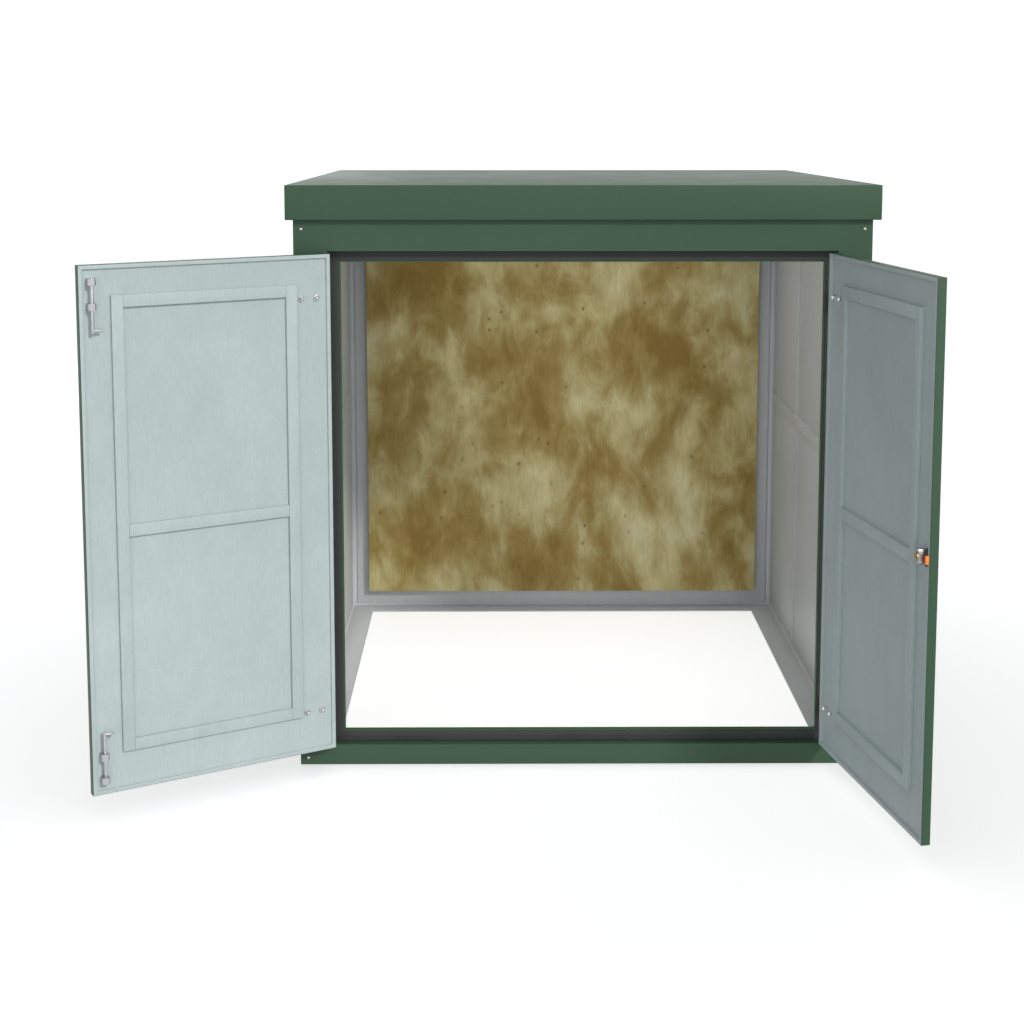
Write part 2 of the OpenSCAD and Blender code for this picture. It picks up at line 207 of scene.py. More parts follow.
def rounded_rectangle(width, height, radius, steps=6):
    """The outline of a rectangle with round corners, about the origin."""
    x, y = width / 2 - radius, height / 2 - radius
    corners = [((x, y), 0), ((-x, y), 90), ((-x, -y), 180), ((x, -y), 270)]
    return [point for centre, turn in corners for point in arc(centre, radius, turn, turn + 90, steps)]


def cut(bm, cutter):
    """Takes one closed mesh out of another and returns the result."""
    objects = []
    for mesh in (bm, cutter):
        bmesh.ops.recalc_face_normals(mesh, faces=mesh.faces)
        data = bpy.data.meshes.new("solid")
        mesh.to_mesh(data)
        mesh.free()
        objects.append(bpy.data.objects.new("solid", data))
        bpy.context.scene.collection.objects.link(objects[-1])
    body, tool = objects
    modifier = body.modifiers.new("cut", "BOOLEAN")
    modifier.object = tool
    modifier.solver = "EXACT"
    bpy.context.view_layer.update()
    result = bmesh.new()
    result.from_mesh(body.evaluated_get(bpy.context.evaluated_depsgraph_get()).to_mesh())
    for each in objects:
        data = each.data
        bpy.data.objects.remove(each)
        bpy.data.meshes.remove(data)
    return result


def add_copy(bm, other, place):
    """Adds a placed copy of one mesh to another."""
    data = bpy.data.meshes.new("copy")
    other.to_mesh(data)
    data.transform(place)
    bm.from_mesh(data)
    bpy.data.meshes.remove(data)


def piece(name, bm, body, material, nodes=(), place=None, paints=()):
    """Makes a finished piece. paints holds (material, test of a face) for faces of another finish."""
    bm.normal_update()
    for index, (_, test) in enumerate(paints, start=1):
        for face in bm.faces:
            if test(face):
                face.material_index = index
    if place is not None:
        bm.transform(place)
    bmesh.ops.recalc_face_normals(bm, faces=bm.faces)
    data = bpy.data.meshes.new(name)
    bm.to_mesh(data)
    bm.free()
    for each in [material] + [paint[0] for paint in paints]:
        data.materials.append(each)
    data.shade_smooth()
    data.set_sharp_from_angle(angle=SHARP)
    obj = bpy.data.objects.new(name, data)
    bpy.context.scene.collection.objects.link(obj)
    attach(obj, body)
    if nodes:
        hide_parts(*nodes)
    return obj


# ---- Material helpers ----


def srgb(*levels_255):
    """A linear colour from 0 to 255 display levels."""
    parts = [v / 255 for v in levels_255]
    return [v / 12.92 if v <= 0.04045 else ((v + 0.055) / 1.055) ** 2.4 for v in parts] + [1]


class Finish:
    """A Principled material with helpers for its texture nodes."""

    def __init__(self, name, **inputs):
        self.material = bpy.data.materials.new(name)
        self.material.use_nodes = True
        self.tree = self.material.node_tree
        self.shader = self.tree.nodes["Principled BSDF"]
        self.coords = self.add("ShaderNodeTexCoord").outputs["Object"]
        for key, value in inputs.items():
            self.shader.inputs[key.replace("_", " ")].default_value = value

    def add(self, kind, **settings):
        node = self.tree.nodes.new(kind)
        for key, value in settings.items():
            setattr(node, key, value)
        return node

    def link(self, source, target):
        self.tree.links.new(source, target)

    def stretched(self, scale, turn=(0, 0, 0)):
        mapping = self.add("ShaderNodeMapping")
        mapping.inputs["Scale"].default_value = scale
        mapping.inputs["Rotation"].default_value = [radians(a) for a in turn]
        self.link(self.coords, mapping.inputs["Vector"])
        return mapping.outputs["Vector"]

    def noise(self, scale, detail=3, roughness=0.5, distortion=0, stretch=(1, 1, 1), turn=(0, 0, 0)):
        node = self.add("ShaderNodeTexNoise")
        self.link(self.stretched(stretch, turn), node.inputs["Vector"])
        for key, value in (("Scale", scale), ("Detail", detail), ("Roughness", roughness),
                           ("Distortion", distortion)):
            node.inputs[key].default_value = value
        return node.outputs["Fac"]

    def specks(self, scale, size, share, stretch=(1, 1, 1)):
        """1 in small dots of a given radius, in that share of the cells, and 0 elsewhere."""
        node = self.add("ShaderNodeTexVoronoi")
        self.link(self.stretched(stretch), node.inputs["Vector"])
        node.inputs["Scale"].default_value = scale
        dot = self.ramp(node.outputs["Distance"], [(size * scale * 0.5, 1), (size * scale, 0)])
        split = self.add("ShaderNodeSeparateColor")
        self.link(node.outputs["Color"], split.inputs["Color"])
        kept = self.ramp(split.outputs["Red"], [(share, 1), (share + 0.02, 0)])
        return self.math("MULTIPLY", dot, kept)

    def ramp(self, value, stops):
        """Maps a value through (position, level) or (position, colour) stops."""
        node = self.add("ShaderNodeValToRGB")
        elements = node.color_ramp.elements
        while len(elements) < len(stops):
            elements.new(0.5)
        for element, (position, level) in zip(elements, stops):
            element.position = position
            element.color = level if hasattr(level, "__len__") else (level, level, level, 1)
        self.link(value, node.inputs["Fac"])
        return node.outputs["Color"]

    def math(self, operation, first, second):
        node = self.add("ShaderNodeMath", operation=operation)
        for socket, value in zip(node.inputs, (first, second)):
            if isinstance(value, (int, float)):
                socket.default_value = value
            else:
                self.link(value, socket)
        return node.outputs["Value"]

    def mix(self, first, second, factor, blend="MIX"):
        node = self.add("ShaderNodeMix", data_type="RGBA", blend_type=blend)
        sockets = [s for s in node.inputs if s.type == "RGBA"]
        for socket, value in zip(sockets, (first, second)):
            if hasattr(value, "__len__"):
                socket.default_value = value
            else:
                self.link(value, socket)
        factor_socket = node.inputs["Factor"]
        if isinstance(factor, (int, float)):
            factor_socket.default_value = factor
        else:
            self.link(factor, factor_socket)
        return next(s for s in node.outputs if s.type == "RGBA")

    def vary(self, colour, noise, low, high):
        """Darkens and lightens a colour with a noise."""
        return self.mix(colour, self.ramp(noise, between(low, high)), 1.0, "MULTIPLY")

    def set(self, key, value):
        self.link(value, self.shader.inputs[key])

    def bump(self, *layers):
        """Adds bump layers, each a (height, depth in metres)."""
        normal = None
        for height, depth in layers:
            node = self.add("ShaderNodeBump")
            node.inputs["Distance"].default_value = depth
            self.link(height, node.inputs["Height"])
            if normal is not None:
                self.link(normal, node.inputs["Normal"])
            normal = node.outputs["Normal"]
        self.set("Normal", normal)


def between(low, high):
    """Ramp stops that spread the middle of a noise from one level to another."""
    return [(0.3, low), (0.7, high)]


def shade(colour, factor):
    return [c * factor for c in colour[:3]] + [1]


# ---- Materials ----


def gel_coat(name, colour, clouds, roughness, ripple):
    """Moulded gel coat: faint clouding, a soft ripple and a fine orange peel."""
    finish = Finish(name, IOR=1.5, Specular_IOR_Level=0.3)
    drift = finish.noise(1.7, detail=4, distortion=0.4)
    colour_drift = finish.ramp(drift, between(shade(colour, 1 - clouds), shade(colour, 1 + clouds)))
    mottle = finish.noise(38, detail=5, roughness=0.6)
    finish.set("Base Color", finish.vary(colour_drift, mottle, 0.975, 1.025))
    sheen = finish.ramp(finish.noise(6, detail=4), between(roughness - 0.035, roughness + 0.035))
    finish.set("Roughness", sheen)
    finish.bump((finish.noise(5, detail=1), ripple), (finish.noise(420, detail=2), 0.03 * MM))
    return finish.material


def make_door_grey():
    """Pale grey top coat over a fine upright glass grain, with a speckle of tiny pits."""
    base = srgb(166, 178, 178)
    finish = Finish("door_grey", IOR=1.45, Specular_IOR_Level=0.35)
    drift = finish.ramp(finish.noise(2.2, detail=5, distortion=0.6),
                        between(shade(base, 0.96), shade(base, 1.04)))
    streaks = finish.noise(1, detail=4, roughness=0.65, stretch=(210, 210, 26))
    patches = finish.noise(14, detail=4, roughness=0.6, stretch=(1, 1, 0.5))
    speckle = finish.noise(330, detail=3, roughness=0.7)
    toned = finish.vary(drift, streaks, 0.94, 1.05)
    toned = finish.vary(toned, patches, 0.972, 1.026)
    toned = finish.vary(toned, speckle, 0.91, 1.07)
    finish.set("Base Color", toned)
    finish.set("Roughness", finish.ramp(streaks, between(0.50, 0.62)))
    finish.bump((streaks, 0.25 * MM), (speckle, 0.12 * MM))
    return finish.material


def make_lining():
    """Flow-coated inside of the panels: satin warm grey with soft roller marks."""
    base = srgb(186, 189, 190)
    finish = Finish("grey_lining", IOR=1.45)
    drift = finish.ramp(finish.noise(1.3, detail=5, distortion=0.5),
                        between(shade(base, 0.94), shade(base, 1.06)))
    marks = finish.noise(1, detail=4, roughness=0.6, stretch=(46, 46, 9))
    toned = finish.vary(drift, marks, 0.97, 1.03)
    finish.set("Base Color", toned)
    finish.set("Roughness", finish.ramp(marks, between(0.42, 0.54)))
    finish.bump((marks, 0.35 * MM), (finish.noise(240, detail=3), 0.08 * MM))
    return finish.material


def make_seal():
    """Closed-cell rubber: black, matt, with fine pores."""
    finish = Finish("seal_rubber", IOR=1.5)
    grain = finish.noise(900, detail=3, roughness=0.7)
    dust = finish.noise(9, detail=5, roughness=0.6)
    tone = finish.ramp(dust, between(srgb(36, 38, 37), srgb(47, 49, 48)))
    finish.set("Base Color", finish.vary(tone, grain, 0.8, 1.15))
    finish.set("Roughness", finish.ramp(dust, between(0.62, 0.78)))
    finish.bump((grain, 0.12 * MM), (finish.noise(60, detail=2), 0.2 * MM))
    return finish.material


def make_plywood():
    """Bare rotary-cut veneer: broad brown and pale clouds, fine upright grain and pin knots."""
    finish = Finish("plywood_face", IOR=1.4)
    lean = (0, 20, 0)
    clouds = finish.noise(3.1, detail=3, roughness=0.5, distortion=0.35, stretch=(1, 1, 0.8), turn=lean)
    wisps = finish.noise(7.5, detail=5, roughness=0.62, distortion=0.6, stretch=(1.2, 1, 0.65), turn=lean)
    blend = finish.math("ADD", finish.math("MULTIPLY", clouds, 0.66), finish.math("MULTIPLY", wisps, 0.34))
    tone = finish.ramp(blend, [(0.39, srgb(134, 108, 46)), (0.47, srgb(156, 134, 74)),
                               (0.55, srgb(184, 170, 116)), (0.64, srgb(206, 198, 150))])
    grain = finish.noise(1, detail=5, roughness=0.7, distortion=0.3, stretch=(330, 330, 20))
    waves = finish.noise(1, detail=4, roughness=0.6, distortion=0.8, stretch=(75, 75, 8))
    toned = finish.vary(tone, grain, 0.82, 1.12)
    toned = finish.vary(toned, waves, 0.94, 1.05)
    knots = finish.specks(14, 4.5 * MM, 0.5, stretch=(1, 1, 0.75))
    halo = finish.specks(14, 11 * MM, 0.5, stretch=(1, 1, 0.75))
    flecks = finish.specks(42, 2.0 * MM, 0.6, stretch=(1, 1, 0.5))
    toned = finish.mix(toned, srgb(112, 84, 42), finish.math("MULTIPLY", halo, 0.35))
    toned = finish.mix(toned, srgb(62, 42, 20), finish.math("MULTIPLY", knots, 0.8))
    toned = finish.mix(toned, srgb(84, 62, 32), finish.math("MULTIPLY", flecks, 0.55))
    finish.set("Base Color", toned)
    finish.set("Roughness", finish.ramp(grain, between(0.6, 0.76)))
    finish.bump((grain, 0.25 * MM), (waves, 0.25 * MM))
    return finish.material


def make_ply_edge():
    """The cut edge of the board, with its layers showing as light and dark lines."""
    low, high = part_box("backboard")
    layers = 7
    finish = Finish("plywood_edge", IOR=1.4)
    split = finish.add("ShaderNodeSeparateXYZ")
    finish.link(finish.coords, split.inputs["Vector"])
    depth = finish.math("SUBTRACT", split.outputs["Y"], low.y)
    wave = finish.math("SINE", finish.math("MULTIPLY", depth, layers * pi / (high.y - low.y)), 0)
    fibres = finish.noise(1, detail=4, roughness=0.7, stretch=(90, 900, 90))
    tone = finish.ramp(wave, [(0.0, srgb(112, 84, 48)), (0.7, srgb(186, 160, 108))])
    finish.set("Base Color", finish.vary(tone, fibres, 0.8, 1.12))
    finish.set("Roughness", finish.ramp(fibres, between(0.7, 0.85)))
    finish.bump((fibres, 0.3 * MM))
    return finish.material


def make_softwood():
    finish = Finish("softwood", IOR=1.4)
    rings = finish.noise(1, detail=4, roughness=0.6, distortion=1.2, stretch=(45, 60, 2.2))
    fibres = finish.noise(1, detail=4, roughness=0.7, stretch=(500, 500, 14))
    tone = finish.ramp(rings, between(srgb(158, 120, 74), srgb(206, 174, 122)))
    finish.set("Base Color", finish.vary(tone, fibres, 0.88, 1.08))
    finish.set("Roughness", finish.ramp(fibres, between(0.6, 0.75)))
    finish.bump((fibres, 0.2 * MM))
    return finish.material


def metal(name, colour, roughness, stretch, depth):
    """Metal with fine brush lines and slight handling marks."""
    finish = Finish(name, Metallic=1.0)
    lines = finish.noise(1, detail=4, roughness=0.7, stretch=stretch)
    marks = finish.noise(70, detail=4, roughness=0.6)
    tone = finish.ramp(marks, between(shade(colour, 0.9), shade(colour, 1.04)))
    finish.set("Base Color", finish.vary(tone, lines, 0.93, 1.05))
    finish.set("Roughness", finish.ramp(marks, between(roughness * 0.85, roughness * 1.2)))
    finish.bump((lines, depth))
    return finish.material


def plastic(name, colour, roughness):
    """Moulded plastic with a fine spark-eroded grain."""
    finish = Finish(name, IOR=1.47)
    grain = finish.noise(1500, detail=2)
    tone = finish.noise(90, detail=3)
    finish.set("Base Color", finish.ramp(tone, between(shade(colour, 0.93), shade(colour, 1.05))))
    finish.set("Roughness", finish.ramp(tone, between(roughness - 0.05, roughness + 0.05)))
    finish.bump((grain, 0.04 * MM))
    return finish.material


green = gel_coat("green_gel_coat", srgb(48, 75, 54), 0.03, 0.48, 0.12 * MM)
lining = make_lining()
door_grey = make_door_grey()
rubber = make_seal()
plywood = make_plywood()
ply_edge = make_ply_edge()
softwood = make_softwood()
steel = metal("satin_steel", srgb(190, 189, 194), 0.32, (700, 700, 30), 0.03 * MM)
bright_steel = metal("bright_steel", srgb(210, 209, 213), 0.15, (300, 300, 300), 0.005 * MM)
brass = metal("dull_brass", srgb(168, 148, 84), 0.36, (600, 600, 600), 0.02 * MM)
plate_paint = gel_coat("plate_paint", srgb(176, 180, 182), 0.02, 0.4, 0.02 * MM)
black_plastic = plastic("black_plastic", srgb(26, 27, 27), 0.45)
orange_plastic = plastic("orange_plastic", srgb(250, 132, 44), 0.4)
mastic = plastic("green_mastic", srgb(46, 58, 49), 0.6)

# ---- Front frame, stop and seals ----


def keeper_holes(lengthen):
    """Round cutters where the thrown shoot bolts go into the frame."""
    seal_low, seal_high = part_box("head_seal")
    xs = [v.co.x for v in NODES["head_seal"].data.vertices]
    ring = [x for x in xs if seal_low.x + MM < x < seal_high.x - MM]
    x0, x1 = min(ring), max(ring)
    rod_v = bolt_axis("upper")[1]
    cutter = bmesh.new()
    radius = (x1 - x0) / 2
    depth = 56 * MM
    for start, way in ((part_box("stop_head")[0].z, 1), (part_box("stop_sill")[1].z, -1)):
        low, high = sorted((start - way * lengthen, start + way * depth))
        at = Matrix.Translation(((x0 + x1) / 2, front_y + rod_v, 0))
        revolve(cutter, [(radius, low), (radius, high)], at, steps=32)
    return cutter


def ring_mesh(outer, inner, y0, y1):
    """A rectangular ring; outer and inner are (half width, low z, high z)."""
    bm = bmesh.new()
    loops = []
    for half, low, high in (outer, inner):
        corners = [(-half, low), (half, low), (half, high), (-half, high)]
        loops += [[bm.verts.new((x, y, z)) for x, z in corners] for y in (y0, y1)]
    outer_front, outer_back, inner_front, inner_back = loops
    pairs = ((outer_front, inner_front), (inner_front, inner_back), (inner_back, outer_back),
             (outer_back, outer_front))
    for first, second in pairs:
        for i in range(4):
            j = (i + 1) % 4
            bm.faces.new((first[i], first[j], second[j], second[i]))
    return bm


def make_front_frame():
    """Header, jambs and sill as the one moulding that they are."""
    bm = ring_mesh((body_half, 0, wall_top), (opening_half, sill_top, opening_top), front_y, frame_back_y)
    round_edges(bm, 2.5 * MM, 3)
    bm = cut(bm, keeper_holes(60 * MM))
    piece("front_frame", bm, ENCLOSURE, green,
          ("front_header", "left_jamb", "right_jamb", "front_sill"))


def make_stop():
    low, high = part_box("left_stop")
    lap_half = -high.x
    bm = ring_mesh((opening_half, sill_top, opening_top), (lap_half, low.z, high.z), low.y, high.y)
    round_edges(bm, 2 * MM, 3)
    bm = cut(bm, keeper_holes(10 * MM))
    piece("door_stop", bm, ENCLOSURE, green,
          ("stop_head", "left_stop", "right_stop", "stop_sill"))


def make_seals():
    """Four strips with rounded front edges and a shallow groove along the middle."""
    for node in ("head_seal", "left_seal", "right_seal", "sill_seal"):
        low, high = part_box(node)
        level = high.x - low.x > high.z - low.z
        bm = bmesh.new()
        box(bm, low, high)
        front, lengthwise = at_depth(low.y), along(0 if level else 2)
        bevel(bm, [e for e in bm.edges if front(e) and lengthwise(e)], 2 * MM, 4)
        middle = (low + high) / 2
        half = 1.2 * MM
        start, end = low - Vector((MM, MM, MM)), high + Vector((MM, 0, MM))
        across = 2 if level else 0
        start[across], end[across] = middle[across] - half, middle[across] + half
        end.y = low.y + half
        groove = bmesh.new()
        box(groove, start, end)
        bm = cut(bm, groove)
        if level:
            bm = cut(bm, keeper_holes(10 * MM))
        piece(node + "_strip", bm, ENCLOSURE, rubber, (node,))


# ---- Walls, base and roof ----


def make_side_wall(side):
    """Panels with rounded edges, green outside and grey inside, and mastic in their seams.

    Returns the heights of the panels' level edges.
    """
    hand = -1 if side == "left" else 1
    node = side + "_wall"
    low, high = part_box(node)
    middle_x = (low.x + high.x) / 2
    bm = node_mesh(node)
    round_edges(bm, 2 * MM, 3)

    def inside(face):
        return face.calc_center_median().x * hand < middle_x * hand and abs(face.normal.x) > 0.5

    piece(node + "_panels", bm, ENCLOSURE, green, (node,), paints=[(lining, inside)])
    verts = [v.co for v in NODES[node].data.vertices]
    edge_ys = sorted({round(c.y, 4) for c in verts})
    edge_zs = sorted({round(c.z, 4) for c in verts})
    sealant = bmesh.new()
    skin, deep = 2.5 * MM, 14 * MM
    outer_x = hand * body_half
    x0, x1 = sorted((outer_x - hand * skin, outer_x - hand * deep))
    for a, b in zip(edge_ys[1:-1:2], edge_ys[2:-1:2]):
        rounded_box(sealant, (x0, a - 0.5 * MM, low.z + MM), (x1, b + 0.5 * MM, high.z - MM), 0.4 * MM)
    for a, b in zip(edge_zs[1:-1:2], edge_zs[2:-1:2]):
        rounded_box(sealant, (x0, low.y + MM, a - 0.5 * MM), (x1, high.y - MM, b + 0.5 * MM), 0.4 * MM)
    piece(node + "_sealant", sealant, ENCLOSURE, mastic)
    return edge_zs


def make_back_wall(seam_zs):
    """One panel inside; its outer skin has grooves that repeat the seams of the side walls."""
    low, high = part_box("back_wall")
    bm = bmesh.new()
    box(bm, low, high)
    round_edges(bm, 2 * MM, 3)
    groove = bmesh.new()
    depth, half, reach = 3 * MM, 1.5 * MM, 10 * MM
    third = (high.x - low.x) / 3
    for x in (low.x + third, high.x - third):
        box(groove, (x - half, high.y - depth, low.z - reach), (x + half, high.y + reach, high.z + reach))
    bm = cut(bm, groove)
    level = bmesh.new()
    z = sum(seam_zs) / len(seam_zs)
    box(level, (low.x - reach, high.y - depth, z - half), (high.x + reach, high.y + reach, z + half))
    bm = cut(bm, level)
    bmesh.ops.dissolve_limit(bm, angle_limit=radians(1), verts=bm.verts, edges=bm.edges)

    def inside(face):
        return face.normal.y < -0.5 and face.calc_center_median().y < low.y + MM

    piece("back_wall_panel", bm, ENCLOSURE, green, ("back_wall",), paints=[(lining, inside)])


def make_wall_strips(side):
    """Moulded strips over the seams, with round shoulders, the uprights cut around the level one."""
    node = side + "_wall_strips"
    bm = node_mesh(node)
    hand = -1 if side == "left" else 1
    face_x = min(abs(v.co.x) for v in bm.verts) * hand

    def shoulder(edge):
        return all(abs(v.co.x - face_x) < 0.1 * MM for v in edge.verts)

    round_edges(bm, 2.5 * MM, 4, shoulder)
    piece(node + "_moulded", bm, ENCLOSURE, lining, (node,))


def make_corner_fillets():
    """The two back corner fillets, run out a little on to the walls."""
    bm = bmesh.new()
    low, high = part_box("back_corner_fillets")
    radius = high.y - low.y
    feather = 2 * MM
    for hand in (-1, 1):
        corner = Vector((hand * inner_half, inner_back_y, low.z))
        curve = [(radius - x, radius - y) for x, y in arc((0, 0), radius, 0, 90, 12)]
        outline = [(0, 0), (radius + feather, 0)] + curve[::-1] + [(0, radius + feather)]
        place = Matrix.Translation(corner) @ Matrix.Diagonal((-hand, -1, 1, 1))
        prism(bm, outline, place, high.z - low.z)
    piece("corner_fillets_moulded", bm, ENCLOSURE, lining, ("back_corner_fillets",))


def make_flange():
    bm = node_mesh("base_flange")
    round_edges(bm, 1.2 * MM, 2)
    piece("base_flange_moulded", bm, ENCLOSURE, lining, ("base_flange",))


def make_base_coves():
    """Small laminate coves where the side and back walls meet the flange."""
    bm = bmesh.new()
    radius = 7 * MM
    curve = [(radius - x, radius - y) for x, y in arc((0, 0), radius, 0, 90, 6)]
    outline = [(0, 0), (radius, 0)] + curve[::-1][1:-1] + [(0, radius)]
    for hand in (-1, 1):
        place = Matrix(((-hand, 0, 0, hand * inner_half), (0, 0, 1, frame_back_y),
                        (0, 1, 0, flange_top), (0, 0, 0, 1)))
        prism(bm, outline, place, inner_back_y - frame_back_y)
    place = Matrix(((0, 0, 1, -inner_half), (-1, 0, 0, inner_back_y),
                    (0, 1, 0, flange_top), (0, 0, 0, 1)))
    prism(bm, outline, place, 2 * inner_half)
    piece("base_coves", bm, ENCLOSURE, lining)


def make_roof():
    """The roof moulding, with rounded edges and a grey ceiling."""
    bm = node_mesh("roof_cap")
    round_edges(bm, 3 * MM, 4)

    def ceiling(face):
        return face.normal.z < -0.5 and face.calc_center_median().z > wall_top - MM

    piece("roof_moulding", bm, ENCLOSURE, green, ("roof_cap",), paints=[(lining, ceiling)])


def make_backboard():
    low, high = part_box("backboard")
    bm = bmesh.new()
    box(bm, low, high)
    round_edges(bm, 0.8 * MM, 2)

    def cut_edge(face):
        return abs(face.normal.y) < 0.5

    piece("backboard_plywood", bm, ENCLOSURE, plywood, ("backboard",),
          paints=[(ply_edge, cut_edge)])
    battens = node_mesh("backboard_battens")
    round_edges(battens, 1.5 * MM, 2)
    piece("battens_planed", battens, ENCLOSURE, softwood, ("backboard_battens",))


# ---- Fixings ----


def screw_mesh(radius, height):
    """A pan-head screw with a cross recess. It stands on the XY plane."""
    bm = bmesh.new()
    dome = [(radius * cos(radians(a)), height * (0.35 + 0.65 * sin(radians(a)))) for a in range(0, 81, 10)]
    revolve(bm, [(radius, 0)] + dome + [(0, height)], Matrix.Identity(4), steps=32)
    recess = bmesh.new()
    arm, half, depth = 0.55 * radius, 0.11 * radius, 0.55 * height
    cross = [(arm, half), (half, half), (half, arm), (-half, arm), (-half, half), (-arm, half),
             (-arm, -half), (-half, -half), (-half, -arm), (half, -arm), (half, -half), (arm, -half)]
    prism(recess, cross, Matrix.Translation((0, 0, height - depth)), height)
    return cut(bm, recess)


def facing(way):
    """Turns +Z to a given direction."""
    return Vector(way).to_track_quat("Z", "X").to_matrix().to_4x4()


def make_frame_screws():
    low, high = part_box("frame_screws")
    head = 5 * MM
    screw = screw_mesh(head, front_y - low.y)
    bm = bmesh.new()
    for x in (low.x + head, high.x - head):
        for z in (low.z + head, high.z - head):
            add_copy(bm, screw, Matrix.Translation((x, front_y, z)) @ facing((0, -1, 0)))
    screw.free()
    piece("frame_screw_heads", bm, ENCLOSURE, bright_steel, ("frame_screws",))


# The pan inside a door's rim is deeper here than in the CAD, to match its shadow in the photo.
PAN_EXTRA = 4 * MM
PAN_V = panel_v - PAN_EXTRA
NUT_RADIUS = 9.5 * MM


def nut_mesh(radius, height):
    """A domed nut on its washer. It stands on the XY plane."""
    bm = bmesh.new()
    washer_t = 2 * MM + PAN_EXTRA
    dome_r = radius * 0.9
    edge = 0.5 * MM
    revolve(bm, [(radius, 0), (radius, washer_t - edge), (radius - edge, washer_t), (dome_r, washer_t)],
            Matrix.Identity(4), steps=40)
    hexagon = [(dome_r * cos(a), dome_r * sin(a)) for a in (i * pi / 3 for i in range(6))]
    hex_top = washer_t + 3.5 * MM
    verts = prism(bm, hexagon, Matrix.Translation((0, 0, washer_t - edge)), hex_top - washer_t + edge)
    round_edges(bm, 0.5 * MM, 2, verts=verts)
    base_r = dome_r * cos(pi / 6)
    rise = height - hex_top
    dome = [(base_r * cos(radians(a)), hex_top - edge + (rise + edge) * sin(radians(a)))
            for a in range(0, 90, 9)]
    revolve(bm, dome + [(0, height)], Matrix.Identity(4), steps=40)
    return bm


def hinge_heights():
    """Half the height of a hinge's barrel, and the heights of the two hinges' middles."""
    low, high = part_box("left_hinge_plates")
    zs = [round(v.co.z, 5) for v in NODES["left_hinge_plates"].data.vertices]
    top_of_low = max(z for z in zs if z < (low.z + high.z) / 2)
    half = (top_of_low - low.z) / 2
    return half, (low.z + half, high.z - half)


BARREL_HALF, HINGE_ZS = hinge_heights()


def make_hinge_nuts(side):
    node = side + "_hinge_nuts"
    low, high = leaf_box(node, side)
    nut = nut_mesh(NUT_RADIUS, high.y - PAN_V)
    bm = bmesh.new()
    for u in (low.x + NUT_RADIUS, high.x - NUT_RADIUS):
        for z in HINGE_ZS:
            add_copy(bm, nut, Matrix.Translation((u, PAN_V, z)) @ facing((0, 1, 0)))
    nut.free()
    piece(node + "_domed", bm, side + "_door", bright_steel, (node,), place=LEAF[side])


# ---- Door leaves ----


def make_leaf(side):
    """A leaf: green outer skin and edges, grey rim and pan, with a cove at the foot of the rim."""
    node = side + "_door_leaf"
    bm = node_mesh(node)
    bm.transform(LEAF[side].inverted())
    bmesh.ops.recalc_face_normals(bm, faces=bm.faces)

    for vert in bm.verts:
        if abs(vert.co.y - panel_v) < 0.1 * MM:
            vert.co.y = PAN_V

    in_pan = at_depth(PAN_V)

    def on_rim(edge):
        return not in_pan(edge) and max(v.co.y for v in edge.verts) > panel_v + 2 * MM

    round_edges(bm, 1.1 * MM, 3, on_rim)
    round_edges(bm, 0.8 * MM, 3, in_pan)
    round_edges(bm, 2 * MM, 3, lambda edge: all(v.co.y < MM for v in edge.verts))
    skin = 1.5 * MM

    def grey(face):
        centre = face.calc_center_median()
        clear = (leaf_low.x + skin < centre.x < leaf_high.x - skin
                 and leaf_low.z + skin < centre.z < leaf_high.z - skin)
        return clear and centre.y > leaf_high.y / 2

    piece(node + "_moulded", bm, side + "_door", green, (node,),
          place=LEAF[side], paints=[(door_grey, grey)])


def make_stiffener(side):
    """Flat rails, butt-jointed: full-height uprights with three level rails between them."""
    node = side + "_door_stiffener"
    face_v = leaf_box(node, side)[1].y
    us = levels(node, side, 0)
    zs = levels(node, side, 2)
    joint = 0.3 * MM
    bm = bmesh.new()
    rails = [(us[0], us[1], zs[0], zs[-1]), (us[-2], us[-1], zs[0], zs[-1])]
    rails += [(us[1] + joint, us[-2] - joint, zs[i], zs[i + 1]) for i in (0, 2, 4)]
    for u0, u1, z0, z1 in rails:
        verts = box(bm, (u0, PAN_V - MM, z0), (u1, face_v, z1))
        round_edges(bm, 1.6 * MM, 3, at_depth(face_v), verts)
    piece(node + "_rails", bm, side + "_door", door_grey, (node,), place=LEAF[side])


# ---- Hinges ----

PIN_RADIUS = 4 * MM
KNUCKLE_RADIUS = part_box("left_hinge_plates")[1].x + opening_half
AXIS_SET = front_y - JOINTS["left_door_hinge"]["pos_m"][1]
PLATE_FACE_V = -4 * MM
PLATE_SET = 9 * MM  # from a hinge's axis to its flat plates
STRAP_HALF = 20 * MM


def knuckle(bm, at, low, high):
    """A rolled knuckle with chamfered ends, bored for its pin."""
    chamfer = 0.8 * MM
    outer, inner = KNUCKLE_RADIUS, PIN_RADIUS
    profile = [(inner, low), (outer - chamfer, low), (outer, low + chamfer), (outer, high - chamfer),
               (outer - chamfer, high), (inner, high)]
    revolve(bm, profile, at, steps=36, bored=True)


def knuckle_spans():
    """Where the door's knuckle ends, above and below the middle of a hinge."""
    points = leaf_points("left_hinge_straps", "left")
    near_u = min(p.x for p in points) + 2 * MM
    from_middle = [abs(p.z - HINGE_ZS[0]) for p in points if p.x < near_u]
    return max(z for z in from_middle if z < BARREL_HALF)


DOOR_KNUCKLE_HALF = knuckle_spans()
KNUCKLE_GAP = 0.5 * MM


